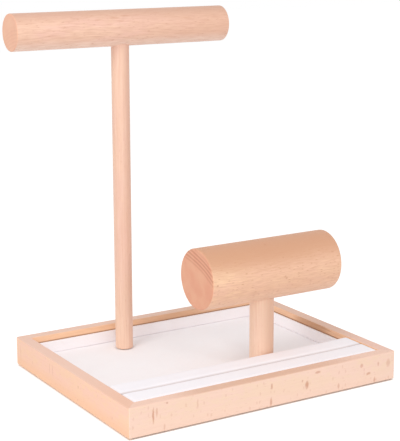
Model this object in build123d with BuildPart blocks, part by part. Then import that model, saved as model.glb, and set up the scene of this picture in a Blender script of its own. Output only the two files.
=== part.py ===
from build123d import *
from math import radians, tan
import os

# Display stand for a dressing table: a shallow mitred wooden tray with a lined inside, two
# padded rolls along its front, and two round posts that each carry a round cross bar.
# Millimetres. +X runs along the tray's long front side, +Y to its back, +Z up.
# Origin: centre of the tray's footprint, on the underside of its felt.

os.makedirs("parts", exist_ok=True)

# Tray frame
tray_length = 250.0
tray_depth = 200.0
rail_thick = 10.0
rail_height = 24.0
corner_round = 1.5         # outer upright corners
edge_ease = 0.8            # long edges of the rails
rabbet_width = 5.0         # step under the rails' inside that takes the base panel
edge_match = 0.001         # how near an edge has to be to the place that it is picked by

# Base panel and the felt under it
panel_thick = 6.0
panel_clear = 0.2
felt_thick = 1.0
felt_inset = 3.0
felt_corner = 3.0
felt_hole_radius = 7.0     # opening around each base screw's head

# Lining
floor_liner_thick = 2.2
wall_liner_thick = 2.0
bare_lip = 5.7             # wood left bare above the wall linings
liner_clear = 0.2
liner_round = 0.6

# Padded rolls and the strip of board that carries them
roll_width = 20.8
roll_slot = 0.4            # slot between the two rolls
roll_below_rim = 0.2
roll_crown = 0.7
roll_shoulder = 3.0
roll_foot_round = 0.8
roll_end_round = 1.2
pad_board_thick = 1.5
pad_clear = 0.3

# Tall post with its long slim bar, at the back left
tall_post_x = -37.0
tall_post_inset = 21.0     # from the back rail's inside to the post's axis
tall_post_radius = 7.5
long_bar_radius = 15.0
long_bar_length = 196.0
long_bar_height = 285.0    # bar axis above the table
long_bar_ease = 0.8
long_bar_socket = 6.0      # socket depth above the bar's lowest line

# Short post with its thick bar, right of centre behind the rolls
short_post_x = 35.0
short_post_gap = 1.2       # between the back roll and the post
short_post_radius = 10.0
thick_bar_radius = 25.0
thick_bar_length = 126.0
thick_bar_height = 93.0
thick_bar_ease = 1.5
thick_bar_socket = 8.0
post_foot_ease = 1.0       # a post's foot shows on the lining, its other end is in the socket
post_end_ease = 0.5
socket_clear = 0.05        # between a post and its bar's socket

# Hardware
dowel_radius = 1.5         # pins across the mitres
dowel_length = 8.0
dowel_clear = 0.05
dowel_heights = (11.0, 18.0)    # above the rails' underside
dowel_shift = 0.5          # from the middle of the mitre towards the tray's inside, in X and in Y
pin_radius = 0.7           # pins that hold the panel in its rabbet
pin_length = 14.0
pin_head_radius = 1.3
pin_head_thick = 0.6
pin_recess = 0.2
pin_clear = 0.05
pin_pitch_long = 80.0
pin_pitch_short = 100.0
screw_radius = 2.45        # countersunk machine screws, up through the panel
screw_length = 18.0
screw_head_radius = 4.6
screw_head_angle = 90.0
screw_recess = 0.2
screw_slot_width = 1.0
screw_slot_length = 5.0
screw_slot_depth = 1.2
screw_clear = 0.05
screw_passage = 0.3
insert_radius = 4.0        # threaded sleeves in the feet of the posts
insert_length = 12.0
insert_clear = 0.05
link_radius = 2.5          # double-ended screws between posts and bars
link_in_post = 20.0
link_in_bar = 11.0
link_point = 2.0
link_clear = 0.05
bore_spare = 0.5           # depth of a blind bore past the end of what it holds

# Levels and lengths that follow from these
rail_bottom = felt_thick
rail_top = rail_bottom + rail_height
panel_top = rail_bottom + panel_thick
floor_top = panel_top + floor_liner_thick
wall_top = rail_top - bare_lip
inner_length = tray_length - 2 * rail_thick
inner_depth = tray_depth - 2 * rail_thick
pad_depth = 2 * roll_width + roll_slot
pad_front = -inner_depth / 2 + pad_clear
pad_back = pad_front + pad_depth
pad_length = inner_length - 2 * pad_clear
roll_foot = floor_top + pad_board_thick
roll_height = rail_top - roll_below_rim - roll_foot

# Each post's place in plan, and the height of the socket floor that its top reaches
tall_post_place = (tall_post_x, inner_depth / 2 - tall_post_inset)
short_post_place = (short_post_x, pad_back + short_post_gap + short_post_radius)
long_socket_floor = long_bar_height - long_bar_radius + long_bar_socket
thick_socket_floor = thick_bar_height - thick_bar_radius + thick_bar_socket
post_places = (tall_post_place, short_post_place)
socket_floors = (long_socket_floor, thick_socket_floor)

# Pins stand on the middle line of the rabbet, three along each long rail, two along each short one
pin_line_x = inner_length / 2 + rabbet_width / 2
pin_line_y = inner_depth / 2 + rabbet_width / 2
pin_places = [(x, side * pin_line_y) for side in (-1, 1) for x in (-pin_pitch_long, 0, pin_pitch_long)]
pin_places += [(x, y) for x in (-pin_line_x, pin_line_x) for y in (-pin_pitch_short / 2, pin_pitch_short / 2)]

# A dowel lies square to its mitre, so it is turned 45 degrees in plan
dowel_x = (tray_length - rail_thick) / 2 - dowel_shift
dowel_y = (tray_depth - rail_thick) / 2 - dowel_shift


def dowel_planes():
    """Planes at the middle of each dowel, with their normals along it."""
    planes = []
    for side_x in (-1, 1):
        for side_y in (-1, 1):
            for height in dowel_heights:
                middle = (side_x * dowel_x, side_y * dowel_y, rail_bottom + height)
                planes.append(Plane(origin=middle, z_dir=(side_x, -side_y, 0)))
    return planes


# ---------------------------------------------------------------- tray frame
# The whole frame is shaped as one ring, then cut at the mitres into its four rails.
with BuildPart() as frame_ring:
    with BuildSketch(Plane.XY.offset(rail_bottom)):
        RectangleRounded(tray_length, tray_depth, corner_round)
    extrude(amount=rail_height)
    outer_edges = frame_ring.edges().filter_by(Axis.Z, reverse=True)
    fillet(outer_edges, edge_ease)
    with BuildSketch(Plane.XY.offset(rail_bottom)):
        Rectangle(inner_length, inner_depth)
    extrude(amount=rail_height, mode=Mode.SUBTRACT)
    rim_edges = frame_ring.edges().filter_by(
        lambda edge: abs(edge.center().Z - rail_top) < edge_match
        and abs(edge.center().X) < inner_length / 2 + edge_match
        and abs(edge.center().Y) < inner_depth / 2 + edge_match
    )
    fillet(rim_edges, edge_ease)
    with BuildSketch(Plane.XY.offset(rail_bottom)):
        Rectangle(inner_length + 2 * rabbet_width, inner_depth + 2 * rabbet_width)
    extrude(amount=panel_thick, mode=Mode.SUBTRACT)
    for dowel_plane in dowel_planes():
        with BuildSketch(dowel_plane):
            Circle(dowel_radius + dowel_clear)
        extrude(amount=dowel_length / 2 + dowel_clear, both=True, mode=Mode.SUBTRACT)
    with BuildSketch(Plane.XY.offset(panel_top)):
        with Locations(*pin_places):
            Circle(pin_radius + pin_clear)
    extrude(amount=pin_length + pin_recess - panel_thick + bore_spare, mode=Mode.SUBTRACT)

# Each rail keeps the ring on its own side of the two mitres that end it. A mitre is an
# upright plane through an outer corner, at 45 degrees to both sides.
corner_x = tray_length / 2
corner_y = tray_depth / 2
rail_mitres = {
    "front_rail": (((-corner_x, -corner_y), (1, -1)), ((corner_x, -corner_y), (-1, -1))),
    "back_rail": (((-corner_x, corner_y), (1, 1)), ((corner_x, corner_y), (-1, 1))),
    "left_rail": (((-corner_x, -corner_y), (-1, 1)), ((-corner_x, corner_y), (-1, -1))),
    "right_rail": (((corner_x, -corner_y), (1, 1)), ((corner_x, corner_y), (1, -1))),
}
for rail_name, mitres in rail_mitres.items():
    with BuildPart() as rail:
        add(frame_ring.part)
        for corner, towards in mitres:
            split(bisect_by=Plane(origin=(*corner, 0), z_dir=(*towards, 0)), keep=Keep.TOP)
    rail.part.label = rail_name
    export_step(rail.part, f"parts/{rail_name}.step")

with BuildPart() as corner_dowels:
    for dowel_plane in dowel_planes():
        with BuildSketch(dowel_plane):
            Circle(dowel_radius)
        extrude(amount=dowel_length / 2, both=True)
corner_dowels.part.label = "corner_dowels"
export_step(corner_dowels.part, "parts/corner_dowels.step")

# ------------------------------------------------------- base panel and felt
with BuildPart() as base_panel:
    with BuildSketch(Plane.XY.offset(rail_bottom)):
        Rectangle(
            inner_length + 2 * (rabbet_width - panel_clear),
            inner_depth + 2 * (rabbet_width - panel_clear),
        )
    extrude(amount=panel_thick)
    for place in post_places:
        with Locations(Plane(origin=(*place, rail_bottom), z_dir=(0, 0, -1))):
            CounterSinkHole(
                radius=screw_radius + screw_passage,
                counter_sink_radius=screw_head_radius + screw_recess + screw_clear,
                depth=panel_thick,
                counter_sink_angle=screw_head_angle,
            )
    with BuildSketch(Plane.XY.offset(rail_bottom)):
        with Locations(*pin_places):
            Circle(pin_radius + pin_clear)
    extrude(amount=panel_thick, mode=Mode.SUBTRACT)
    with BuildSketch(Plane.XY.offset(rail_bottom)):
        with Locations(*pin_places):
            Circle(pin_head_radius + pin_clear)
    extrude(amount=pin_recess + pin_head_thick, mode=Mode.SUBTRACT)
base_panel.part.label = "base_panel"
export_step(base_panel.part, "parts/base_panel.step")

with BuildPart() as panel_pins:
    with BuildSketch(Plane.XY.offset(rail_bottom + pin_recess)):
        with Locations(*pin_places):
            Circle(pin_head_radius)
    extrude(amount=pin_head_thick)
    with BuildSketch(Plane.XY.offset(rail_bottom + pin_recess)):
        with Locations(*pin_places):
            Circle(pin_radius)
    extrude(amount=pin_length)
panel_pins.part.label = "panel_pins"
export_step(panel_pins.part, "parts/panel_pins.step")

with BuildPart() as underside_felt:
    with BuildSketch(Plane.XY):
        RectangleRounded(tray_length - 2 * felt_inset, tray_depth - 2 * felt_inset, felt_corner)
        with Locations(*post_places):
            Circle(felt_hole_radius, mode=Mode.SUBTRACT)
    extrude(amount=felt_thick)
underside_felt.part.label = "underside_felt"
export_step(underside_felt.part, "parts/underside_felt.step")

# -------------------------------------------------------------------- lining
with BuildPart() as liner_floor:
    with BuildSketch(Plane.XY.offset(panel_top)):
        Rectangle(inner_length - 2 * liner_clear, inner_depth - 2 * liner_clear)
        with Locations(*post_places):
            Circle(screw_radius + screw_passage, mode=Mode.SUBTRACT)
    extrude(amount=floor_liner_thick)
liner_floor.part.label = "liner_floor"
export_step(liner_floor.part, "parts/liner_floor.step")

wall_outer_x = inner_length / 2 - liner_clear
wall_outer_y = inner_depth / 2 - liner_clear
side_wall_front = pad_back + pad_clear
side_wall_back = wall_outer_y - wall_liner_thick - liner_clear
side_wall_middle = (side_wall_front + side_wall_back) / 2
side_wall_length = side_wall_back - side_wall_front
back_wall_y = wall_outer_y - wall_liner_thick / 2
side_wall_x = wall_outer_x - wall_liner_thick / 2
wall_plans = {
    "liner_wall_back": (0, back_wall_y, 2 * wall_outer_x, wall_liner_thick),
    "liner_wall_left": (-side_wall_x, side_wall_middle, wall_liner_thick, side_wall_length),
    "liner_wall_right": (side_wall_x, side_wall_middle, wall_liner_thick, side_wall_length),
}
for wall_name, (wall_x, wall_y, wall_size_x, wall_size_y) in wall_plans.items():
    with BuildPart() as liner_wall:
        with BuildSketch(Plane.XY.offset(floor_top)):
            with Locations((wall_x, wall_y)):
                Rectangle(wall_size_x, wall_size_y)
        extrude(amount=wall_top - floor_top)
        fillet(liner_wall.edges().group_by(Axis.Z)[-1], liner_round)
    liner_wall.part.label = wall_name
    export_step(liner_wall.part, f"parts/{wall_name}.step")

# -------------------------------------------------------------- padded rolls
with BuildPart() as roll_board:
    with BuildSketch(Plane.XY.offset(floor_top)):
        with Locations((0, (pad_front + pad_back) / 2)):
            Rectangle(pad_length, pad_depth)
    extrude(amount=pad_board_thick)
roll_board.part.label = "roll_board"
export_step(roll_board.part, "parts/roll_board.step")

# A roll stands on a flat foot, with upright sides, round shoulders and a low crown
roll_middles = {
    "ring_roll_front": pad_front + roll_width / 2,
    "ring_roll_back": pad_back - roll_width / 2,
}
for roll_name, roll_y in roll_middles.items():
    with BuildPart() as ring_roll:
        with BuildSketch(Plane.YZ.offset(-pad_length / 2)):
            with BuildLine():
                left_shoulder = (roll_y - roll_width / 2, roll_foot + roll_height - roll_crown)
                right_shoulder = (roll_y + roll_width / 2, roll_foot + roll_height - roll_crown)
                Polyline(
                    left_shoulder,
                    (roll_y - roll_width / 2, roll_foot),
                    (roll_y + roll_width / 2, roll_foot),
                    right_shoulder,
                )
                ThreePointArc(right_shoulder, (roll_y, roll_foot + roll_height), left_shoulder)
            profile = make_face()
            fillet(profile.vertices().group_by(Axis.Y)[-1], roll_shoulder)
            fillet(profile.vertices().group_by(Axis.Y)[0], roll_foot_round)
        extrude(amount=pad_length)
        roll_ends = ring_roll.faces().filter_by(Axis.X)
        fillet(roll_ends.edges(), roll_end_round)
    ring_roll.part.label = roll_name
    export_step(ring_roll.part, f"parts/{roll_name}.step")

# ------------------------------------------------------------ posts and bars
# A post stands on the floor lining and is drawn down on it by a screw from below
post_sizes = {
    "necklace_post": (tall_post_place, tall_post_radius, long_socket_floor),
    "bracelet_post": (short_post_place, short_post_radius, thick_socket_floor),
}
for post_name, (place, radius, post_top) in post_sizes.items():
    with BuildPart() as post:
        with BuildSketch(Plane.XY.offset(floor_top)):
            with Locations(place):
                Circle(radius)
        extrude(amount=post_top - floor_top)
        foot_edge, top_edge = post.edges().filter_by(GeomType.CIRCLE).sort_by(Axis.Z)
        fillet(foot_edge, post_foot_ease)
        fillet(top_edge, post_end_ease)
        with BuildSketch(Plane.XY.offset(floor_top)):
            with Locations(place):
                Circle(insert_radius + insert_clear)
        extrude(amount=insert_length + bore_spare, mode=Mode.SUBTRACT)
        with BuildSketch(Plane.XY.offset(post_top)):
            with Locations(place):
                Circle(link_radius + link_clear)
        extrude(amount=-link_in_post - bore_spare, mode=Mode.SUBTRACT)
    post.part.label = post_name
    export_step(post.part, f"parts/{post_name}.step")

bar_sizes = {
    "necklace_bar": (
        tall_post_place, tall_post_radius, long_bar_radius, long_bar_length,
        long_bar_height, long_bar_ease, long_socket_floor,
    ),
    "bracelet_bar": (
        short_post_place, short_post_radius, thick_bar_radius, thick_bar_length,
        thick_bar_height, thick_bar_ease, thick_socket_floor,
    ),
}
for bar_name, bar_size in bar_sizes.items():
    place, radius, bar_radius, bar_length, bar_height, bar_ease, socket_floor = bar_size
    with BuildPart() as bar:
        with BuildSketch(Plane.YZ.offset(place[0] - bar_length / 2)):
            with Locations((place[1], bar_height)):
                Circle(bar_radius)
        extrude(amount=bar_length)
        fillet(bar.edges().filter_by(GeomType.CIRCLE), bar_ease)
        with BuildSketch(Plane.XY.offset(socket_floor)):
            with Locations(place):
                Circle(radius + socket_clear)
        extrude(amount=-bar_radius, mode=Mode.SUBTRACT)
        with BuildSketch(Plane.XY.offset(socket_floor)):
            with Locations(place):
                Circle(link_radius + link_clear)
        extrude(amount=link_in_bar + bore_spare, mode=Mode.SUBTRACT)
    bar.part.label = bar_name
    export_step(bar.part, f"parts/{bar_name}.step")

# ------------------------------------------------------------------ hardware
with BuildPart() as bar_screws:
    for place, socket_floor in zip(post_places, socket_floors):
        with BuildSketch(Plane.XY.offset(socket_floor - link_in_post)):
            with Locations(place):
                Circle(link_radius)
        extrude(amount=link_in_post + link_in_bar)
    chamfer(bar_screws.edges().filter_by(GeomType.CIRCLE), link_point)
bar_screws.part.label = "bar_screws"
export_step(bar_screws.part, "parts/bar_screws.step")

with BuildPart() as post_inserts:
    with BuildSketch(Plane.XY.offset(floor_top)):
        with Locations(*post_places):
            Circle(insert_radius)
            Circle(screw_radius + screw_clear, mode=Mode.SUBTRACT)
    extrude(amount=insert_length)
post_inserts.part.label = "post_inserts"
export_step(post_inserts.part, "parts/post_inserts.step")

screw_head_height = (screw_head_radius - screw_radius) / tan(radians(screw_head_angle / 2))
with BuildPart() as base_screws:
    for place in post_places:
        head_plane = Plane(origin=(*place, rail_bottom + screw_recess))
        with BuildSketch(head_plane):
            Circle(screw_radius)
        extrude(amount=screw_length)
        with Locations(head_plane.offset(screw_head_height / 2)):
            Cone(screw_head_radius, screw_radius, screw_head_height)
        with BuildSketch(head_plane):
            Rectangle(screw_slot_length, screw_slot_width)
            Rectangle(screw_slot_width, screw_slot_length)
        extrude(amount=screw_slot_depth, mode=Mode.SUBTRACT)
base_screws.part.label = "base_screws"
export_step(base_screws.part, "parts/base_screws.step")
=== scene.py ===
import math

import bpy
import numpy as np
from mathutils import Matrix, Vector


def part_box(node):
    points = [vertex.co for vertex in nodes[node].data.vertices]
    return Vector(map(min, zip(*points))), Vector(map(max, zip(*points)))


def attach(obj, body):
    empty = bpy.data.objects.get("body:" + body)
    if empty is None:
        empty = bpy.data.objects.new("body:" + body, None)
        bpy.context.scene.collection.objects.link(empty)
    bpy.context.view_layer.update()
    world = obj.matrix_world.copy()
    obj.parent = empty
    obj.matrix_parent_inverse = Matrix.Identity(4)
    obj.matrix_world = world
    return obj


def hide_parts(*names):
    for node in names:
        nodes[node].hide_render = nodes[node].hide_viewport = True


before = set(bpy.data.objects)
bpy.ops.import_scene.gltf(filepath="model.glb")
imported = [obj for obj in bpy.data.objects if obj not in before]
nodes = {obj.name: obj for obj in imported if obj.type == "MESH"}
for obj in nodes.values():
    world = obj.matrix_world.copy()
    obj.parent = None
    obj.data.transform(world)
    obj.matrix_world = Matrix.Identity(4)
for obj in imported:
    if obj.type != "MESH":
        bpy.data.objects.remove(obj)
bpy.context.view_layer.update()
mm = 0.001
print("frame loaded,", len(nodes), "nodes")


def tone(red, green, blue):
    # A colour as it is seen on a screen, 0 to 255, made linear
    shares = np.array((red, green, blue)) / 255
    linear = np.where(shares <= 0.04045, shares / 12.92, ((shares + 0.055) / 1.055) ** 2.4)
    return (*linear.tolist(), 1.0)


class Value:
    # A socket in a formula: an operator adds its Math node, and a plain number may stand on either side
    def __init__(self, shader, socket):
        self.shader = shader
        self.socket = socket

    def __add__(self, other):
        return self.shader.maths("ADD", self, other)

    def __radd__(self, other):
        return self.shader.maths("ADD", other, self)

    def __sub__(self, other):
        return self.shader.maths("SUBTRACT", self, other)

    def __rsub__(self, other):
        return self.shader.maths("SUBTRACT", other, self)

    def __mul__(self, other):
        return self.shader.maths("MULTIPLY", self, other)

    def __rmul__(self, other):
        return self.shader.maths("MULTIPLY", other, self)

    def __truediv__(self, other):
        return self.shader.maths("DIVIDE", self, other)


class Shader:
    # One node material, or the world's nodes
    def __init__(self, name, owner=None):
        self.owner = owner or bpy.data.materials.new(name)
        self.owner.use_nodes = True
        self.tree = self.owner.node_tree
        self.tree.nodes.clear()

    def make(self, kind, settings, sockets, output=0):
        # A node of any type: its settings first, then the values or links of its sockets
        node = self.tree.nodes.new(kind)
        for name, setting in settings.items():
            setattr(node, name, setting)
        for key, given in sockets.items():
            if isinstance(given, Value):
                self.tree.links.new(given.socket, node.inputs[key])
            else:
                node.inputs[key].default_value = given
        return Value(self, node.outputs[output]) if node.outputs else node

    def maths(self, operation, first, second=0.0):
        # One Math node on one or two values
        return self.make("ShaderNodeMath", {"operation": operation}, {0: first, 1: second})

    def ease(self, value, low, high):
        # 0 up to low, 1 from high on, and an S curve between them
        sockets = {"Value": value, "From Min": low, "From Max": high}
        return self.make("ShaderNodeMapRange", {"interpolation_type": "SMOOTHSTEP"}, sockets)

    def blend(self, factor, first, second):
        # The first colour at factor 0 and the second at 1
        return self.make("ShaderNodeMix", {"data_type": "RGBA"}, {0: factor, 6: first, 7: second}, 2)

    def millimetres(self):
        # The object's own x, y and z
        place = self.make("ShaderNodeTexCoord", {}, {}, "Object")
        scaled = self.make("ShaderNodeVectorMath", {"operation": "SCALE"}, {0: place, "Scale": 1000.0})
        return [self.make("ShaderNodeSeparateXYZ", {}, {0: scaled}, axis) for axis in range(3)]

    def noise(self, parts, sizes, detail=2.0, shift=0.0, distortion=0.0):
        # Cloudy noise about 0, up to half each way, whose blobs have these sizes in millimetres
        spot = self.stretched(parts, sizes, shift)
        sockets = {"Vector": spot, "Scale": 1.0, "Detail": detail, "Distortion": distortion}
        return self.make("ShaderNodeTexNoise", {}, sockets) - 0.5

    def flecks(self, parts, sizes, share, shift=0.0, core=0.14, rim=0.34):
        # Scattered spindles of these sizes, 1 in the middle; share is how many of the cells hold one
        spot = self.stretched(parts, sizes, shift)
        nearness = self.make("ShaderNodeTexVoronoi", {}, {"Vector": spot, "Scale": 1.0}, "Distance")
        cells = Value(self, nearness.socket.node.outputs["Color"])
        chance = self.make("ShaderNodeSeparateColor", {}, {0: cells})
        there = self.maths("LESS_THAN", chance, share)
        return self.ease(nearness, rim, core) * there

    def oval(self, across, up, place, size, rim=1.7, core=0.05):
        # A soft spot about a place: the squared distance, in half sizes of the oval, eased from rim to core
        offAcross, offUp = (across - place[0]) * (2 / size[0]), (up - place[1]) * (2 / size[1])
        return self.ease(offAcross * offAcross + offUp * offUp, rim, core)

    def stretched(self, parts, sizes, shift):
        # Each part divided by its size and shifted, as one vector
        scaled = {index: part / size + shift for index, (part, size) in enumerate(zip(parts, sizes))}
        return self.make("ShaderNodeCombineXYZ", {}, scaled)

    def surface(self, sockets, bump, strength, height):
        # Principled surface, whose bump runs from 0 to 1 and stands for this height in metres
        relief = {"Strength": strength, "Distance": height, "Height": bump}
        normal = self.make("ShaderNodeBump", {}, relief)
        bsdf = self.make("ShaderNodeBsdfPrincipled", {}, {**sockets, "Normal": normal})
        self.make("ShaderNodeOutputMaterial", {}, {"Surface": bsdf})
        return self.owner


def addMesh(name, points, faces, finish, sharpAbove=40):
    # A smooth-shaded piece at the origin, with edges kept sharp above this angle
    mesh = bpy.data.meshes.new(name)
    mesh.from_pydata(points.tolist(), [], faces)
    mesh.polygons.foreach_set("use_smooth", [True] * len(faces))
    mesh.set_sharp_from_angle(angle=math.radians(sharpAbove))
    mesh.materials.append(finish)
    piece = bpy.data.objects.new(name, mesh)
    bpy.context.scene.collection.objects.link(piece)
    return piece


def cells(number):
    # The squares of a grid of point numbers, each as a face that looks up
    return np.stack((number[:-1, :-1], number[1:, :-1], number[1:, 1:], number[:-1, 1:]), -1)


def slab(name, xLines, yLines, topHeight, bottom, finish, reshape=None):
    # Closed plate over a grid of x and y lines: the top is topHeight(x, y), the underside is flat at
    # bottom, and walls join them along every open edge. reshape moves the grid and says which of its cells
    # to keep.
    x, y = np.meshgrid(xLines, yLines, indexing="ij")
    keep = np.ones((len(xLines) - 1, len(yLines) - 1), bool)
    if reshape:
        x, y, keep = reshape(x, y, keep)
    number = np.arange(x.size).reshape(x.shape)
    quads = cells(number)[keep]
    edges = np.concatenate([quads[:, (side, (side + 1) % 4)] for side in range(4)])
    forward = edges[:, 0] * x.size + edges[:, 1]
    backward = edges[:, 1] * x.size + edges[:, 0]
    rim = edges[~np.isin(forward, backward)]
    walls = np.stack((rim[:, 1], rim[:, 0], rim[:, 0] + x.size, rim[:, 1] + x.size), -1)
    top = np.stack((x, y, topHeight(x, y)), -1).reshape(-1, 3)
    base = top * (1, 1, 0) + (0, 0, bottom)
    used, faces = np.unique(np.concatenate((quads, quads[:, ::-1] + x.size, walls)), return_inverse=True)
    return addMesh(name, np.concatenate((top, base))[used], faces.reshape(-1, 4).tolist(), finish)


def endRound(distance, radius):
    # How far a rounded edge stands back at this distance from its end: a quarter circle
    left = np.clip(radius - distance, 0, radius)
    return radius - np.sqrt(np.maximum(radius**2 - left**2, 0))


def edgeLines(low, high, step, radius, roundLines=5):
    # Grid lines from low to high, a step apart and closer in the rounded edges
    close = radius * (1 - np.cos(np.linspace(0, math.pi / 2, roundLines)))
    count = max(2, round((high - low - 2 * radius) / step) + 1)
    middle = np.linspace(low + radius, high - radius, count)
    return np.concatenate((low + close[:-1], middle, high - close[-2::-1]))


beech = {
    "cloudSize": (34, 11, 11),     # mm along the grain, and across it both ways
    "waveSize": (48, 30, 30),
    "mottleSize": (5, 2.4, 2.4),
    "fibreSize": (13, 0.5, 0.5),
    "dashSize": (4.5, 1.0, 1.0),
    "toneEdge": 0.15,              # how soon the rosy tone gives way to the sandy one
    "baseShade": 0.2,              # share of the line tone that lies everywhere
    "ringRise": 0.6,               # share of a ring's pitch in which it darkens, and where it fades again
    "ringFall": 0.62,
    "bandFade": (1.4, 0.6),        # where the band of rings ends and is full, in halves of its width
    "roughness": 0.52,
    "fibreRough": 0.14,
    "dashRough": 0.1,
    "level": 0.6,                  # plain wood in the bump; dashes and rings lie lower
    "dashDepth": 0.4,
    "ringDepth": 0.2,
    "bump": 0.22,
    "bumpHeight": 0.12 * mm,
}


def growthRings(shader, parts, look):
    # Circles about the pith, each darkening outwards, within the look's band of the piece. Depth is how
    # much further a point is from the pith than the piece's middle.
    offFirst, offSecond = parts[1] - look["pith"][0], parts[2] - look["pith"][1]
    radius = shader.maths("SQRT", offFirst * offFirst + offSecond * offSecond)
    phase = shader.maths("FRACT", radius / look["ringPitch"])
    late = shader.ease(phase, 0.0, beech["ringRise"]) * shader.ease(phase, 1.0, beech["ringFall"])
    depth = radius - math.hypot(*look["pith"])
    away = shader.maths("ABSOLUTE", depth - look["bandMiddle"])
    within = shader.ease(away, *(look["bandHalf"] * share for share in beech["bandFade"]))
    return late * within, depth


def beechFinish(name, axis, look, ground=None, paint=None):
    # Beech with its grain along one axis. Two close tones drift into each other. Streaks, fibres, growth
    # rings and short ray dashes are drawn over them in the line tone, all bent by one slow wave. ground
    # changes the tone under these lines, and paint adds what lies over them.
    shader = Shader(name)
    xyz = shader.millimetres()
    centred = [part - offset for part, offset in zip(xyz, look["middle"])]
    along = centred[axis]
    first, second = [centred[other] for other in range(3) if other != axis]
    seed = look["seed"]
    wave = shader.noise((along, first, second), beech["waveSize"], 2.0, seed) * look["wave"]
    parts = (along, first + wave, second - wave)
    mottle = shader.noise(parts, beech["mottleSize"], 3.0, seed + 5)
    cloud = shader.noise(parts, beech["cloudSize"], 2.0, seed + 1) + mottle * look["mottle"]
    streak = shader.noise(parts, look["streakSize"], 4.0, seed + 7)
    fibre = shader.noise(parts, beech["fibreSize"], 3.0, seed + 3)
    dashes = shader.flecks(parts, beech["dashSize"], look["dashShare"], seed + 11)
    rings, depth = growthRings(shader, parts, look)
    mix = shader.ease(cloud, -beech["toneEdge"], beech["toneEdge"])
    body = shader.blend(mix, look["rosy"], look["sandy"])
    if ground:
        body = ground(shader, body, xyz, depth)
    lines = streak * look["streaks"] + rings * look["rings"] + fibre * look["fibres"]
    shade = lines + dashes * look["dashShade"] + beech["baseShade"]
    colour = shader.blend(shade, body, look["line"])
    if paint:
        colour = paint(shader, colour, xyz, parts, rings)
    rough = fibre * beech["fibreRough"] + dashes * beech["dashRough"] + beech["roughness"]
    relief = fibre + beech["level"] - dashes * beech["dashDepth"] - rings * beech["ringDepth"]
    sockets = {"Base Color": colour, "Roughness": rough}
    return shader.surface(sockets, relief, beech["bump"], beech["bumpHeight"])


velvetPile = {
    "napSize": (16, 16, 16),       # mm
    "napShare": 0.5,
    "pileSize": (0.5, 0.5, 0.5),
    "pileShare": 0.6,
    "toneEdge": 0.4,
    "roughness": 0.95,
    "gloss": 0.15,
    "sheen": 0.12,
    "bump": 0.3,
    "bumpHeight": 0.22 * mm,
}


def velvetFinish(name, colour, shade, slot=None):
    # Short pile: a faint cloudy nap over a fine even grain, and painted shade in the slot, if any
    shader = Shader(name)
    parts = shader.millimetres()
    nap = shader.noise(parts, velvetPile["napSize"], 3.0)
    pile = shader.noise(parts, velvetPile["pileSize"], 2.0)
    cloud = nap * velvetPile["napShare"] + pile * velvetPile["pileShare"]
    mix = shader.ease(cloud, -velvetPile["toneEdge"], velvetPile["toneEdge"])
    tint = shader.blend(mix, shade, colour)
    if slot:
        # Painted shade in the slot between the rolls
        away = shader.maths("ABSOLUTE", parts[1] - slot["place"])
        tint = shader.blend(shader.ease(away, slot["reach"], slot["edge"]), tint, slot["tone"])
    sockets = {
        "Base Color": tint, "Roughness": velvetPile["roughness"],
        "Specular IOR Level": velvetPile["gloss"], "Sheen Weight": velvetPile["sheen"],
    }
    return shader.surface(sockets, pile + 0.5, velvetPile["bump"], velvetPile["bumpHeight"])


feltFibres = {
    "fluffSize": (0.7, 0.7, 0.7),  # mm
    "fluffWarp": 1.5,
    "patchSize": (18, 18, 18),
    "patchShare": 0.4,
    "toneEdge": 0.3,
    "deep": tone(150, 138, 128),
    "pale": tone(192, 182, 172),
    "roughness": 0.95,
    "sheen": 0.25,
    "bump": 0.5,
    "bumpHeight": 0.4 * mm,
}


def feltFinish(name):
    # Pressed fibres: warped fine noise, in slowly changing patches
    shader = Shader(name)
    parts = shader.millimetres()
    fluff = shader.noise(parts, feltFibres["fluffSize"], 4.0, 2.0, feltFibres["fluffWarp"])
    patch = shader.noise(parts, feltFibres["patchSize"], 2.0, 6.0)
    cloud = fluff + patch * feltFibres["patchShare"]
    mix = shader.ease(cloud, -feltFibres["toneEdge"], feltFibres["toneEdge"])
    tint = shader.blend(mix, feltFibres["deep"], feltFibres["pale"])
    sockets = {
        "Base Color": tint, "Roughness": feltFibres["roughness"], "Sheen Weight": feltFibres["sheen"],
    }
    return shader.surface(sockets, fluff + 0.5, feltFibres["bump"], feltFibres["bumpHeight"])


fibreboard = {
    "chipSize": (1.6, 1.6, 0.6),   # mm
    "toneEdge": 0.3,
    "deep": tone(160, 125, 92),
    "pale": tone(198, 164, 126),
    "roughness": 0.8,
    "bump": 0.2,
    "bumpHeight": 0.2 * mm,
}


def boardFinish(name):
    # Fibreboard: even, with fine chips
    shader = Shader(name)
    parts = shader.millimetres()
    chips = shader.noise(parts, fibreboard["chipSize"], 4.0, 5.0)
    mix = shader.ease(chips, -fibreboard["toneEdge"], fibreboard["toneEdge"])
    tint = shader.blend(mix, fibreboard["deep"], fibreboard["pale"])
    sockets = {"Base Color": tint, "Roughness": fibreboard["roughness"]}
    return shader.surface(sockets, chips + 0.5, fibreboard["bump"], fibreboard["bumpHeight"])


turnedMetal = {
    "ringSize": (2.5, 2.5, 0.12),  # mm
    "ringShare": 0.5,
    "ringRough": 0.2,
    "patchSize": (3, 3, 3),
    "patchRough": 0.1,
    "toneEdge": 0.3,
    "bump": 0.3,
    "bumpHeight": 0.04 * mm,
}


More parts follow.
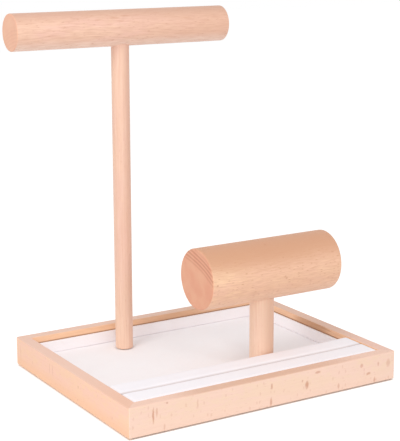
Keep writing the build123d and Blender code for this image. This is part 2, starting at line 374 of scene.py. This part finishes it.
def metalFinish(name, bright, dull, roughness):
    # Turned metal: fine rings left by the tool, and small dull patches
    shader = Shader(name)
    parts = shader.millimetres()
    rings = shader.noise(parts, turnedMetal["ringSize"], 3.0, 1.0)
    patch = shader.noise(parts, turnedMetal["patchSize"], 3.0, 8.0)
    cloud = patch + rings * turnedMetal["ringShare"]
    mix = shader.ease(cloud, -turnedMetal["toneEdge"], turnedMetal["toneEdge"])
    rough = rings * turnedMetal["ringRough"] + patch * turnedMetal["patchRough"] + roughness
    sockets = {"Base Color": shader.blend(mix, dull, bright), "Metallic": 1.0, "Roughness": rough}
    return shader.surface(sockets, rings + 0.5, turnedMetal["bump"], turnedMetal["bumpHeight"])


def boxMillimetres(node):
    # Lowest and highest corner of a solid's box
    low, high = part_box(node)
    return [value / mm for value in low], [value / mm for value in high]


def middleOf(node):
    # Halfway between the two corners
    low, high = boxMillimetres(node)
    return [(first + second) / 2 for first, second in zip(low, high)]


def setFinish(node, finish):
    # Puts a material on a solid that stays as it is
    nodes[node].material_slots[0].material = finish


innerX = boxMillimetres("right_rail")[0][0]
innerY = boxMillimetres("back_rail")[0][1]
outerX = boxMillimetres("right_rail")[1][0]
outerY = boxMillimetres("back_rail")[1][1]
railTop = boxMillimetres("front_rail")[1][2]

# Each rail's tones. Its top has a darker tone, painted shade for the little light that falls on it from
# above, which changes to topInner along topSpan: where the change starts, is full, fades and ends. low is
# the tone of its foot.
rails = {
    "front_rail": {
        "axis": 0, "rosy": tone(254, 220, 203), "sandy": tone(253, 222, 198), "line": tone(232, 190, 164),
        "top": tone(244, 207, 189), "topInner": tone(225, 184, 160), "topSpan": (-95, -55, 45, 100),
        "low": tone(255, 222, 203), "streaks": 0.2, "fibres": 0.3, "seed": 4.0, "scatter": 0.3,
        # Marks on the outer face: along the rail and up it, then their width, height and strength
        "marks": [
            (-104.5, 15, 1.7, 12, 0.75), (-101.5, 17, 1.7, 7.5, 0.45), (-92.5, 23, 2, 1.6, 0.6),
            (-95, 4.5, 1.5, 5, 0.35), (-66, 17, 1.4, 8, 0.3), (1.5, 17.5, 2, 5, 0.6), (1, 5, 2.2, 7, 0.6),
            (35.5, 12.5, 3, 6.5, 0.7), (31, 16.5, 1.6, 2, 0.5), (46, 21, 5.5, 2, 0.6),
            (67, 5.5, 2, 5, 0.45), (90.5, 18.5, 3, 3.5, 0.5), (97.5, 10.5, 4.5, 2.2, 0.6),
            (104, 4, 2, 4.5, 0.5), (107.5, 17, 1.7, 4, 0.5), (118, 16, 4, 7, 0.35),
        ],
    },
    "back_rail": {
        "axis": 0, "rosy": tone(252, 214, 194), "sandy": tone(251, 216, 188), "line": tone(228, 182, 152),
        "top": tone(243, 206, 188), "topInner": tone(233, 188, 158), "topSpan": (20, 60, 200, 210),
        "low": tone(252, 214, 190), "streaks": 0.6, "fibres": 0.6, "seed": 9.0, "scatter": 0.1,
        "marks": [],
    },
    "left_rail": {
        "axis": 1, "rosy": tone(255, 210, 189), "sandy": tone(255, 213, 181), "line": tone(238, 184, 150),
        "top": tone(239, 195, 172), "topInner": tone(240, 204, 187), "topSpan": (-95, 0, 200, 210),
        "low": tone(255, 206, 170), "streaks": 0.2, "fibres": 0.3, "seed": 14.0, "scatter": 0.05,
        "marks": [
            (34, 16, 1.6, 9, 0.25), (28.5, 16, 1.6, 9, 0.25), (-18, 16, 2.2, 2.5, 0.35),
            (-16.5, 5, 2, 1.8, 0.3), (-74, 9, 1.6, 4, 0.25), (91, 13, 1.6, 14, 0.2),
        ],
    },
    "right_rail": {
        "axis": 1, "rosy": tone(252, 213, 192), "sandy": tone(251, 215, 186), "line": tone(230, 182, 152),
        "top": tone(240, 202, 188), "topInner": tone(232, 194, 174), "topSpan": (-90, -20, 200, 210),
        "low": tone(250, 212, 186), "streaks": 0.6, "fibres": 0.6, "seed": 19.0, "scatter": 0.12,
        "marks": [],
    },
}
plainRail = {
    "wave": 3.0, "pith": (-46.0, 30.0), "ringPitch": 3.1, "bandMiddle": 0.0, "bandHalf": 6.0, "rings": 0.0,
    "streakSize": (60, 2.2, 2.2), "mottle": 0.8, "dashShare": 0.2, "dashShade": 0.36,
    "footSpan": (15.0, 2.0),       # height at which the foot's tone sets in, and is full
    "topDepth": (0.9, 0.2),        # mm below the top at which the top's tone sets in, and is full
}
railMarks = {
    "tone": tone(204, 142, 110),
    "scatterSize": (3.2, 60, 6.0), # mm along, through and up, of the small flecks between the marks
    "scatterShade": 0.2,
    "ragged": 1.6,                 # mm by which the outlines of marks and flecks wander
    "raggedSize": (2.2, 2.2, 2.2),
    "depth": 0.3,                  # mm under the outer face in which they show
}
# The wood inside the tray, above the lining, in deeper tones than the outer faces
lip = {
    "depth": 0.25,                 # mm under the inner face in which it shows
    "pale": tone(252, 206, 168),
    "deep": tone(226, 178, 142),
    # The dark tone is a painted shadow of the bracelet bar's right end on the right-hand lip
    "paintedShadow": tone(172, 118, 78),
    "shadowPlace": (115, 2),         # a darker patch on the right-hand lip: its middle and size in plan
    "shadowSize": (46, 46),
    "shadowRagged": 30,
    "shadowShare": 0.55,
    # The deep tone is grain and painted shade where the bracelet bar's shadow falls on the back lip
    "deepStart": (-35.0, 25.0),    # where along the tray the deep tone sets in, and fades again
    "deepEnd": (150.0, 30.0),
    "grainSize": (36, 1.3, 1.3),
    "grainShare": 1.4,
    "deepShare": 0.9,
    "baseShare": 0.1,
    # The seam tone is painted shade in the gap where the lip meets the lining
    "seamShade": tone(160, 112, 82),    # the line where the lip meets the lining
    "seamSpan": (1.2, 0.3),        # mm above the lining at which it sets in, and is full
    "seamShare": 0.75,
}
wallTop = boxMillimetres("liner_wall_back")[1][2]


def railGround(rail):
    def ground(shader, body, xyz, depth):
        # Deeper towards the foot, and the top face has darker tones, painted shade, which drift along the
        # rail
        foot = shader.ease(xyz[2], *rail["footSpan"])
        body = shader.blend(foot, body, rail["low"])
        # Painted shade on the top face
        shadedTop = shader.ease(xyz[2], *(railTop - depth for depth in rail["topDepth"]))
        start, full, fading, end = rail["topSpan"]
        place = xyz[rail["axis"]]
        along = shader.ease(place, start, full) * shader.ease(place, end, fading)
        return shader.blend(shadedTop, body, shader.blend(along, rail["top"], rail["topInner"]))
    return ground


def railPaint(rail):
    def paint(shader, colour, xyz, parts, rings):
        # Marks across the grain on the outer face only. The inside lip has deeper tones: grain, painted
        # shade of the bracelet bar, a painted shadow patch, and painted shade along its seam with the
        # lining
        across = xyz[rail["axis"]]
        face, outer = (xyz[1], outerY) if rail["axis"] == 0 else (xyz[0], outerX)
        outside = shader.maths("GREATER_THAN", shader.maths("ABSOLUTE", face), outer - railMarks["depth"])
        ragged = shader.noise(xyz, railMarks["raggedSize"], 2.0, rail["seed"] + 21) * railMarks["ragged"]
        spot = (across + ragged, face, xyz[2])
        dots = shader.flecks(spot, railMarks["scatterSize"], rail["scatter"], rail["seed"])
        marks = dots * railMarks["scatterShade"]
        for place, rise, wide, high, strength in rail["marks"]:
            mark = shader.oval(across + ragged, xyz[2] + ragged, (place, rise), (wide, high))
            marks = marks + mark * strength
        colour = shader.blend(marks * outside, colour, railMarks["tone"])
        insideX = shader.maths("LESS_THAN", shader.maths("ABSOLUTE", xyz[0]), innerX + lip["depth"])
        insideY = shader.maths("LESS_THAN", shader.maths("ABSOLUTE", xyz[1]), innerY + lip["depth"])
        grain = shader.noise(parts, lip["grainSize"], 3.0, rail["seed"] + 5)
        # Painted shade of the bracelet bar on the back lip, mixed with the grain
        depth = shader.ease(xyz[0], *lip["deepStart"]) * shader.ease(xyz[0], *lip["deepEnd"])
        share = grain * lip["grainShare"] + depth * lip["deepShare"] + lip["baseShare"]
        lipWithShade = shader.blend(share, lip["pale"], lip["deep"])
        # A painted shadow of the bracelet bar's end on the right-hand lip
        backward = xyz[1] + grain * lip["shadowRagged"]
        paintedShadow = shader.oval(xyz[0], backward, lip["shadowPlace"], lip["shadowSize"]) * lip["shadowShare"]
        lipWithShade = shader.blend(paintedShadow, lipWithShade, lip["paintedShadow"])
        # Painted shade in the gap along the lining's top edge
        seamShade = shader.ease(xyz[2], *(wallTop + height for height in lip["seamSpan"]))
        lipWithShade = shader.blend(seamShade * lip["seamShare"], lipWithShade, lip["seamShade"])
        return shader.blend(insideX * insideY, colour, lipWithShade)
    return paint


for node, rail in rails.items():
    look = {"middle": middleOf(node), **plainRail, **rail}
    setFinish(node, beechFinish("beech_" + node, look["axis"], look, railGround(look), railPaint(look)))
print("rails finished")


# Each dowel's tones; drift is its tone towards the end of driftSpan. The heart tone, on the side away
# from the pith, is grain and painted shade: it darkens the tops of the bars and the right-hand sides of
# the posts. The belly tone underneath is painted light, the bounce from the white lining.
turned = {
    "necklace_post": {
        "axis": 2, "rosy": tone(241, 199, 180), "sandy": tone(244, 204, 180), "line": tone(226, 178, 152),
        "pith": (-45.0, 28.0), "ringPitch": 2.6, "bandMiddle": 0.0, "bandHalf": 9.0, "rings": 0.1,
        "streakSize": (42, 1.5, 1.5), "streaks": 1.2, "fibres": 0.6, "wave": 2.0, "seed": 31.0,
        "drift": tone(250, 216, 190), "driftSpan": (110, 10), "driftShare": 0.8,
        "heartAndShade": tone(228, 182, 160), "heartAndShadeShare": 0.6, "heartAndShadeFrom": 1.5, "heartAndShadeTo": 7.0,
    },
    "necklace_bar": {
        "axis": 0, "rosy": tone(245, 200, 181), "sandy": tone(245, 203, 178), "line": tone(214, 162, 136),
        "pith": (-20.0, -60.0), "ringPitch": 2.8, "bandMiddle": -6.0, "bandHalf": 8.0, "rings": 0.05,
        "streakSize": (11, 1.0, 1.0), "streaks": 1.4, "fibres": 1.0, "wave": 3.5, "seed": 37.0,
        "dashShare": 0.32, "dashShade": 0.5,
        "drift": tone(234, 188, 162), "driftSpan": (-70, 50), "driftShare": 0.8,
        "heartAndShade": tone(216, 172, 148), "heartAndShadeShare": 0.8, "heartAndShadeFrom": 2.0, "heartAndShadeTo": 13.0,
        "bounceLight": tone(252, 220, 202), "bounceLightSpan": (280, 272),
        "endRosy": tone(233, 177, 149), "endSandy": tone(236, 185, 156), "endLine": tone(212, 154, 126),
        "endRings": 0.2,
        # Specks on the front of the side: along the bar and height, then their length, height and strength
        "specks": [
            (-48, 294, 9, 1.1, 0.4), (-43, 291.5, 7, 1, 0.4), (-55, 289, 8, 0.9, 0.3),
            (-64, 293, 6, 0.9, 0.3), (-38, 295.5, 8, 1, 0.35), (20, 292, 9, 0.9, 0.3),
            (10, 287, 7, 0.8, 0.25),
        ],
    },
    "bracelet_post": {
        # Paler tones than the other post's: painted light that makes up for the bracelet bar's shade over
        # it
        "axis": 2, "rosy": tone(254, 221, 199), "sandy": tone(255, 224, 198), "line": tone(239, 195, 168),
        "pith": (-46.0, 30.0), "ringPitch": 2.6, "bandMiddle": 2.0, "bandHalf": 7.0, "rings": 0.15,
        "streakSize": (36, 1.6, 1.6), "streaks": 1.2, "fibres": 0.6, "wave": 2.0, "seed": 43.0,
        "drift": tone(254, 216, 188), "driftSpan": (60, 10), "driftShare": 0.5,
        "heartAndShade": tone(222, 179, 153), "heartAndShadeShare": 0.85, "heartAndShadeFrom": -2.0, "heartAndShadeTo": 8.0,
    },
    "bracelet_bar": {
        "axis": 0, "rosy": tone(248, 201, 173), "sandy": tone(252, 210, 174), "line": tone(214, 158, 124),
        "pith": (34.0, -94.0), "ringPitch": 3.1, "bandMiddle": 16.0, "bandHalf": 6.0, "rings": 0.03,
        "streakSize": (9, 0.9, 0.9), "streaks": 1.0, "fibres": 0.9, "wave": 2.0, "seed": 49.0,
        "dashShare": 0.36, "dashShade": 0.65,
        "drift": tone(242, 195, 165), "driftSpan": (-20, 30), "driftShare": 0.6,
        "heartAndShade": tone(210, 156, 122), "heartAndShadeShare": 0.9, "heartAndShadeFrom": 12.0, "heartAndShadeTo": 25.0,
        "bounceLight": tone(253, 214, 186), "bounceLightSpan": (84, 72),
        "endRosy": tone(226, 160, 130), "endSandy": tone(230, 172, 140), "endLine": tone(194, 126, 98),
        "endRings": 0.7,
        "specks": [
            (-24, 93, 2.2, 1.8, 0.6), (42, 90, 2, 1.8, 0.5), (41, 106.5, 1.6, 1.2, 0.4),
            (36, 79, 2.4, 1.2, 0.4), (90, 105, 2.6, 1.4, 0.4), (31, 116, 3, 1, 0.3),
        ],
    },
}
plainDowel = {"mottle": 0.4, "dashShare": 0.2, "dashShade": 0.36, "speckRagged": (2, 2, 2)}
endGrain = {
    "depth": (0.9, 0.15),          # mm from the end, where it sets in and is full
    "cloudSize": (60, 13, 13),
    "cloudEdge": 0.2,
    "poreSize": (6, 0.55, 0.55),
    "poreShare": 0.7,
    "poreShade": 0.16,
}


def turnedGround(look):
    def ground(shader, body, xyz, depth):
        # Tones that change along the dowel; away from the pith a darker tone of grain and painted shade,
        # and underneath painted bounce light
        along = shader.ease(xyz[look["axis"]], *look["driftSpan"])
        body = shader.blend(along * look["driftShare"], body, look["drift"])
        # Grain and painted shade on the tops of the bars and the right-hand sides of the posts
        heartAndShade = shader.ease(depth, look["heartAndShadeFrom"], look["heartAndShadeTo"])
        body = shader.blend(heartAndShade * look["heartAndShadeShare"], body, look["heartAndShade"])
        # Painted bounce light from the white lining, lighter underneath
        if "bounceLight" in look:
            body = shader.blend(shader.ease(xyz[2], *look["bounceLightSpan"]), body, look["bounceLight"])
        return body
    return ground


def barPaint(look, low, high):
    def paint(shader, colour, xyz, parts, rings):
        # Specks on the front of the side, and end grain at both ends: deeper tones, rings and fine pores
        front = shader.maths("LESS_THAN", xyz[1], look["middle"][1])
        ragged = shader.noise(xyz, look["speckRagged"], 2.0, look["seed"] + 21)
        for place, rise, wide, tall, strength in look["specks"]:
            speck = shader.oval(xyz[0] + ragged, xyz[2] + ragged, (place, rise), (wide, tall))
            colour = shader.blend(speck * front * strength, colour, railMarks["tone"])
        toEnd = shader.maths("MINIMUM", xyz[0] - low[0], high[0] - xyz[0])
        cloud = shader.noise(parts, endGrain["cloudSize"], 2.0, look["seed"] + 2)
        pores = shader.flecks(parts, endGrain["poreSize"], endGrain["poreShare"], 9.0)
        mix = shader.ease(cloud, -endGrain["cloudEdge"], endGrain["cloudEdge"])
        cut = shader.blend(mix, look["endRosy"], look["endSandy"])
        shade = rings * look["endRings"] + pores * endGrain["poreShade"]
        cut = shader.blend(shade, cut, look["endLine"])
        return shader.blend(shader.ease(toEnd, *endGrain["depth"]), colour, cut)
    return paint


for node, piece in turned.items():
    look = {"middle": middleOf(node), **plainDowel, **piece}
    low, high = boxMillimetres(node)
    paint = barPaint(look, low, high) if piece["axis"] == 0 else None
    setFinish(node, beechFinish("beech_" + node, piece["axis"], look, turnedGround(look), paint))
dowelLook = {
    **turned["necklace_post"], "middle": (0.0, 0.0, 0.0), "seed": 61.0, "mottle": 0.4,
    "dashShare": 0.36, "dashShade": 0.65,
}
setFinish("corner_dowels", beechFinish("beech_dowels", 0, dowelLook))
print("posts and bars finished")


board = boardFinish("fibreboard")
steel = metalFinish("zincedSteel", tone(214, 216, 218), tone(176, 180, 184), 0.32)
brass = metalFinish("turnedBrass", tone(228, 196, 122), tone(196, 160, 92), 0.28)
for node in ("base_panel", "roll_board"):
    setFinish(node, board)
for node in ("panel_pins", "bar_screws", "base_screws"):
    setFinish(node, steel)
setFinish("post_inserts", brass)
print("hardware finished")


velvet = velvetFinish("creamVelvet", tone(255, 252, 254), tone(252, 247, 249))

lining = {
    "round": 0.6 * mm,         # turned edge of the covered card
    "step": 3 * mm,
    "press": 0.5 * mm,         # how far a post's foot presses into the pile
    "pressReach": 2.5 * mm,
    "pressLines": 41,          # grid lines across a foot and the pile about it
    "unevenness": 0.06 * mm,
    "waves": ((71, 23, 0.0), (-37, 89, 1.3), (151, 151, 0.4)),     # along x and y, per metre, and phase
}


def postPlaces():
    # Each post's axis in plan, and its radius
    places = []
    for node in ("necklace_post", "bracelet_post"):
        low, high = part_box(node)
        places.append(((low.x + high.x) / 2, (low.y + high.y) / 2, (high.x - low.x) / 2))
    return places


def ripple(x, y):
    # Slight unevenness of cloth glued over card: the mean of a few crossed sine waves
    waves = sum(np.sin(x * alongX + y * alongY + phase) for alongX, alongY, phase in lining["waves"])
    return waves * lining["unevenness"] / len(lining["waves"])


def buildFloorLining():
    # A plate over the floor board, on a grid that is finer round the posts
    low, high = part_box("liner_floor")
    xLines = edgeLines(low.x, high.x, lining["step"], lining["round"])
    yLines = edgeLines(low.y, high.y, lining["step"], lining["round"])
    for px, py, radius in postPlaces():
        reach = radius + 2 * lining["pressReach"]
        near = np.linspace(-reach, reach, lining["pressLines"])
        xLines = np.unique(np.concatenate((xLines, px + near)))
        yLines = np.unique(np.concatenate((yLines, py + near)))

    def height(x, y):
        # Flat card with turned edges, pressed down in a soft ring round each post
        toEdge = np.minimum.reduce((x - low.x, high.x - x, y - low.y, high.y - y))
        z = high.z - endRound(toEdge, lining["round"]) + ripple(x, y) - lining["unevenness"]
        for px, py, radius in postPlaces():
            out = np.clip((np.hypot(x - px, y - py) - radius) / lining["pressReach"], 0, 1)
            z = z - lining["press"] * (1 - out) ** 2
        return z

    piece = slab("liningFloor", xLines, yLines, height, low.z, velvet)
    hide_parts("liner_floor")
    return piece


def roundedSection(halfWidth, halfHeight, radius, arcPoints=7, sidePoints=(0.04, 0.5, 0.96)):
    # Oblong with quarter circles at its corners. Each straight side has points near its ends, so that
    # it shades flat.
    turns = np.linspace(0, math.pi / 2, arcPoints)
    arcs = []
    for quarter, (signWidth, signHeight) in enumerate(((1, 1), (-1, 1), (-1, -1), (1, -1))):
        angles = turns + quarter * math.pi / 2
        side = signWidth * (halfWidth - radius) + radius * np.cos(angles)
        rise = signHeight * (halfHeight - radius) + radius * np.sin(angles)
        arcs.append(np.stack((side, rise), -1))
    outline = []
    for arc, following in zip(arcs, arcs[1:] + arcs[:1]):
        outline += [arc, arc[-1] + (following[0] - arc[-1]) * np.array(sidePoints)[:, None]]
    return np.concatenate(outline)


def carried(name, node, axis, inset, radius, step, finish):
    # The rounded section of a node's box, less an inset, carried along one axis and drawn in at both ends
    # along a quarter circle
    low, high = [np.array(corner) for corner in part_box(node)]
    low, high = low + inset, high - inset
    across = 1 - axis
    length = edgeLines(low[axis], high[axis], step, radius)
    halfWidth, halfHeight = (high[across] - low[across]) / 2, (high[2] - low[2]) / 2
    section = roundedSection(halfWidth, halfHeight, radius)
    back = endRound(np.minimum(length - low[axis], high[axis] - length), radius)[:, None]
    offset = (low[across] + high[across]) / 2 + section[:, 0] * (1 - back / halfWidth)
    z = (low[2] + high[2]) / 2 + section[:, 1] * (1 - back / halfHeight)
    run = np.broadcast_to(length[:, None], offset.shape)
    points = np.stack((run, offset, z) if axis == 0 else (offset, run, z), -1)
    piece = closedTube(name, points, axis == 0, finish)
    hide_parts(node)
    return piece


def closedTube(name, points, turn, finish):
    # Surface over a grid of points, one closed ring to a row, capped at both ends; turn says which way the
    # rings run, so that faces point outwards
    rows, ring = points.shape[:2]
    number = np.arange(rows * ring).reshape(rows, ring)
    follow = np.roll(number, -1, 1)
    quads = np.stack((number[:-1], follow[:-1], follow[1:], number[1:]), -1).reshape(-1, 4)
    faces = quads.tolist() + [number[0][::-1].tolist(), number[-1].tolist()]
    if not turn:
        faces = [face[::-1] for face in faces]
    return addMesh(name, points.reshape(-1, 3), faces, finish, sharpAbove=60)


def buildWallLining(name, node, axis):
    # A covered strip, carried along its own wall
    return carried(name, node, axis, 0.0, lining["round"], lining["step"], velvet)


liningPieces = [
    buildFloorLining(),
    buildWallLining("liningWallBack", "liner_wall_back", 0),
    buildWallLining("liningWallLeft", "liner_wall_left", 1),
    buildWallLining("liningWallRight", "liner_wall_right", 1),
]
for piece in liningPieces:
    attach(piece, "root")
print("lining built")


roll = {
    "round": 0.9 * mm,         # edges of the foam
    "inset": 0.15 * mm,        # how much smaller the roll starts, before its cover swells
    "step": 4 * mm,
    "voxel": 1.2 * mm,
    "pressure": 4.0,
    "frames": 20,
    "swell": 0.5 * mm,         # the most that a point may move
    "footHeight": 1.6 * mm,    # the cover is glued down below this
    "fill": 0.9,               # how full of foam the cover is
}
# The pile between the rolls is darker, painted shade in the slot, up to this reach from its middle
slotPlace = (boxMillimetres("ring_roll_front")[1][1] + boxMillimetres("ring_roll_back")[0][1]) / 2
slotShade = {"place": slotPlace, "edge": 0.5, "reach": 2.7, "tone": tone(221, 211, 210)}
rollVelvet = velvetFinish("rollVelvet", tone(253, 250, 254), tone(248, 244, 249), slotShade)


def meshPoints(mesh):
    # The places of all its points, one to a row
    points = np.empty(len(mesh.vertices) * 3)
    mesh.vertices.foreach_get("co", points)
    return points.reshape(-1, 3)


def applied(piece):
    # The piece's mesh as its modifiers show it
    depsgraph = bpy.context.evaluated_depsgraph_get()
    return bpy.data.meshes.new_from_object(piece.evaluated_get(depsgraph))


def swollen(piece, low, high):
    # Cloth blown up a little from inside, with its foot held. No point moves further than swell, or out
    # of the box.
    remesh = piece.modifiers.new("evenMesh", "REMESH")
    remesh.mode = "VOXEL"
    remesh.voxel_size = roll["voxel"]
    even = applied(piece)
    piece.modifiers.clear()
    piece.data = even
    start = meshPoints(even)
    foot = piece.vertex_groups.new(name="foot")
    foot.add(np.flatnonzero(start[:, 2] < low[2] + roll["footHeight"]).tolist(), 1.0, "REPLACE")
    cover = piece.modifiers.new("cover", "CLOTH")
    cover.settings.use_pressure = True
    cover.settings.uniform_pressure_force = roll["pressure"]
    cover.settings.effector_weights.gravity = 0.0
    cover.settings.vertex_group_mass = "foot"
    cover.point_cache.frame_end = roll["frames"]
    for frameNumber in range(1, roll["frames"] + 1):
        bpy.context.scene.frame_set(frameNumber)
    blown = applied(piece)
    piece.modifiers.clear()
    bpy.context.scene.frame_set(1)
    move = meshPoints(blown) - start
    reach = np.linalg.norm(move, axis=1, keepdims=True)
    move = move * np.minimum(1, roll["swell"] / np.maximum(reach, 1e-9))
    shaped = np.clip(start + move, low, high)
    even.vertices.foreach_set("co", shaped.ravel())
    even.polygons.foreach_set("use_smooth", [True] * len(even.polygons))
    even.update()
    smoother = piece.modifiers.new("smoother", "SUBSURF")
    smoother.levels = smoother.render_levels = 1


def buildRoll(name, node):
    # A foam shape a little smaller than the roll, whose cover is then blown up
    piece = carried(name, node, 0, roll["inset"], roll["round"], roll["step"], rollVelvet)
    low, high = [np.array(corner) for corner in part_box(node)]
    swollen(piece, low, high)
    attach(piece, "root")
    return piece


buildRoll("rollFront", "ring_roll_front")
buildRoll("rollBack", "ring_roll_back")
print("rolls built")


felt = feltFinish("pressedFelt")
feltShape = {
    "corner": 3 * mm,
    "step": 4 * mm,
    "hole": 7 * mm,            # radius of the holes under the screws
    "holeInner": 0.9,          # half side of the square of cells left out, in radii of the hole
    "holeReach": 1.8,          # how far out the grid is drawn to the hole, in radii
    "holeLines": 19,
}


def buildFelt():
    # A flat sheet with rounded corners and a hole under each screw
    low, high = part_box("underside_felt")
    xLines = edgeLines(low.x, high.x, feltShape["step"], feltShape["corner"])
    yLines = edgeLines(low.y, high.y, feltShape["step"], feltShape["corner"])
    reach = feltShape["hole"] * feltShape["holeReach"]
    for px, py, radius in postPlaces():
        near = np.linspace(-reach, reach, feltShape["holeLines"])
        xLines = np.unique(np.concatenate((xLines, px + near)))
        yLines = np.unique(np.concatenate((yLines, py + near)))

    def cut(x, y, keep):
        # Square cells round each screw are left out, and the grid about them is drawn to a circle. At the
        # corners the last square of the grid is drawn to a quarter circle.
        middleX, middleY = (x[1:, 1:] + x[:-1, :-1]) / 2, (y[1:, 1:] + y[:-1, :-1]) / 2
        inner = feltShape["hole"] * feltShape["holeInner"]
        for px, py, radius in postPlaces():
            square = np.maximum(np.abs(x - px), np.abs(y - py))
            keep &= np.maximum(np.abs(middleX - px), np.abs(middleY - py)) > inner
            share = np.clip((square - inner) / (reach - inner), 0, 1)
            far = np.maximum(np.hypot(x - px, y - py), 1e-9)
            x, y = [
                axis + (1 - share) * (centre + (axis - centre) / far * feltShape["hole"] - axis)
                for axis, centre in ((x, px), (y, py))
            ]
        r = feltShape["corner"]
        outX, outY = np.clip(np.abs(x) - (high.x - r), 0, r), np.clip(np.abs(y) - (high.y - r), 0, r)
        pull = np.maximum(outX, outY) / np.maximum(np.hypot(outX, outY), 1e-9)
        x = np.where(outX > 0, np.sign(x) * (high.x - r + outX * pull), x)
        y = np.where(outY > 0, np.sign(y) * (high.y - r + outY * pull), y)
        return x, y, keep

    piece = slab("undersideFelt", xLines, yLines, lambda x, y: x * 0 + high.z, low.z, felt, cut)
    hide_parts("underside_felt")
    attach(piece, "root")
    return piece


buildFelt()
print("felt built")


studio = {
    "worldLight": 0.68,
    "floorGlow": 0.45,         # the part of the floor's white that no shadow darkens
    "floorShade": 0.82,
    "floorTone": tone(232, 232, 232),
    "floorReach": 4.0,
    "floorLines": 9,
    "floorDrop": 0.2 * mm,
    # Right under the rails the floor's glow is darkened to a painted contact shadow, the thin line that the
    # stand rests on: the edge of this strip in mm from the rails' outer faces, its tones at the front and
    # sides, and how far behind the front face one gives way to the other
    "contactEdge": (-1.2, 0.5),
    "contactShadowFront": tone(150, 118, 100),
    "contactShadowSide": tone(218, 184, 166),
    "contactTurn": (8, 3),
    "aim": (0.0, 0.0, 0.1),
    # Each lamp's power, place and size
    "lamps": {
        "leftLamp": (1.25, (-0.95, -0.35, 0.36), 0.7),
        "frontLamp": (1.45, (-0.30, -1.00, 0.60), 0.4),
        "rightLamp": (1.4, (0.40, -1.00, 0.50), 0.4),
        "topLamp": (2.8, (-0.75, -0.30, 0.90), 0.4),
    },
}


def seenDirectly(shader):
    # 1 for a ray that ends in the picture, straight, mirrored or through glass
    outputs = ("Is Camera Ray", "Is Glossy Ray", "Is Transmission Ray")
    camera, glossy, through = [shader.make("ShaderNodeLightPath", {}, {}, output) for output in outputs]
    return shader.maths("MAXIMUM", shader.maths("MAXIMUM", camera, glossy), through)


def buildWorld():
    # White where it is seen, and the plain light of the room for everything else
    world = bpy.data.worlds.new("studioWorld")
    bpy.context.scene.world = world
    shader = Shader("studioWorld", world)
    white = (1.0, 1.0, 1.0, 1.0)
    light = shader.make("ShaderNodeBackground", {}, {"Color": white, "Strength": studio["worldLight"]})
    shown = shader.make("ShaderNodeBackground", {}, {"Color": white, "Strength": 1.0})
    mixed = shader.make("ShaderNodeMixShader", {}, {0: seenDirectly(shader), 1: light, 2: shown})
    shader.make("ShaderNodeOutputWorld", {}, {"Surface": mixed})


def buildFloor():
    # Pale floor: where it is seen, part of its white is glow and the rest can be shaded. Under the rails
    # the glow is darkened to a painted contact shadow
    shader = Shader("paleFloor")
    plain = shader.make("ShaderNodeBsdfDiffuse", {}, {"Color": studio["floorTone"]})
    shaded = shader.make("ShaderNodeBsdfDiffuse", {}, {"Color": (studio["floorShade"],) * 3 + (1.0,)})
    x, y, z = shader.millimetres()
    offX, offY = shader.maths("ABSOLUTE", x) - outerX, shader.maths("ABSOLUTE", y) - outerY
    clear = shader.ease(shader.maths("MAXIMUM", offX, offY), *studio["contactEdge"])
    atFront = shader.ease(y, *(turn - outerY for turn in studio["contactTurn"]))
    # Painted contact shadow under the rails
    contactShadow = shader.blend(atFront, studio["contactShadowSide"], studio["contactShadowFront"])
    lit = shader.blend(clear, contactShadow, (1.0, 1.0, 1.0, 1.0))
    glow = shader.make("ShaderNodeEmission", {}, {"Color": lit, "Strength": studio["floorGlow"]})
    shown = shader.make("ShaderNodeAddShader", {}, {0: shaded, 1: glow})
    mixed = shader.make("ShaderNodeMixShader", {}, {0: seenDirectly(shader), 1: plain, 2: shown})
    shader.make("ShaderNodeOutputMaterial", {}, {"Surface": mixed})
    lines = np.linspace(-studio["floorReach"], studio["floorReach"], studio["floorLines"])
    x, y = np.meshgrid(lines, lines, indexing="ij")
    number = np.arange(x.size).reshape(x.shape)
    points = np.stack((x, y, x * 0 - studio["floorDrop"]), -1).reshape(-1, 3)
    addMesh("floor", points, cells(number).reshape(-1, 4).tolist(), shader.owner)


def addLamp(name, power, place, size):
    # Square lamp at a place, turned to the middle of the stand
    lamp = bpy.data.lights.new(name, "AREA")
    lamp.energy = power
    lamp.size = size
    holder = bpy.data.objects.new(name, lamp)
    holder.location = place
    aim = Vector(studio["aim"]) - Vector(place)
    holder.rotation_euler = aim.to_track_quat("-Z", "Y").to_euler()
    bpy.context.scene.collection.objects.link(holder)


buildWorld()
buildFloor()
for name, (power, place, size) in studio["lamps"].items():
    addLamp(name, power, place, size)

view = {
    "azimuth": -31.673,
    "elevation": 12.769,
    "roll": -0.079,
    "distance": 1.0702,
    "target": (-0.00208, 0.0, 0.1311),
    "lens": 106.55,
    "sensor": 36.0,
    "clip": (0.05, 20.0),
}


def buildCamera():
    # The camera looks at the target from this azimuth and elevation; azimuth 0 looks along +y
    azimuth, elevation, tilt = [math.radians(view[name]) for name in ("azimuth", "elevation", "roll")]
    flat = math.cos(elevation)
    back = Vector((math.sin(azimuth) * flat, -math.cos(azimuth) * flat, math.sin(elevation)))
    right = Vector((0, 0, 1)).cross(back).normalized()
    up = back.cross(right)
    across = right * math.cos(tilt) + up * math.sin(tilt)
    upright = up * math.cos(tilt) - right * math.sin(tilt)
    facing = Matrix((across, upright, back)).transposed().to_4x4()
    place = Vector(view["target"]) + back * view["distance"]
    camera = bpy.data.objects.new("camera", bpy.data.cameras.new("camera"))
    camera.data.lens = view["lens"]
    camera.data.sensor_width = view["sensor"]
    camera.data.clip_start, camera.data.clip_end = view["clip"]
    camera.matrix_world = Matrix.Translation(place) @ facing
    bpy.context.scene.collection.objects.link(camera)
    bpy.context.scene.camera = camera


buildCamera()
bpy.context.scene.view_settings.view_transform = "Standard"
print("stage, light and camera set")
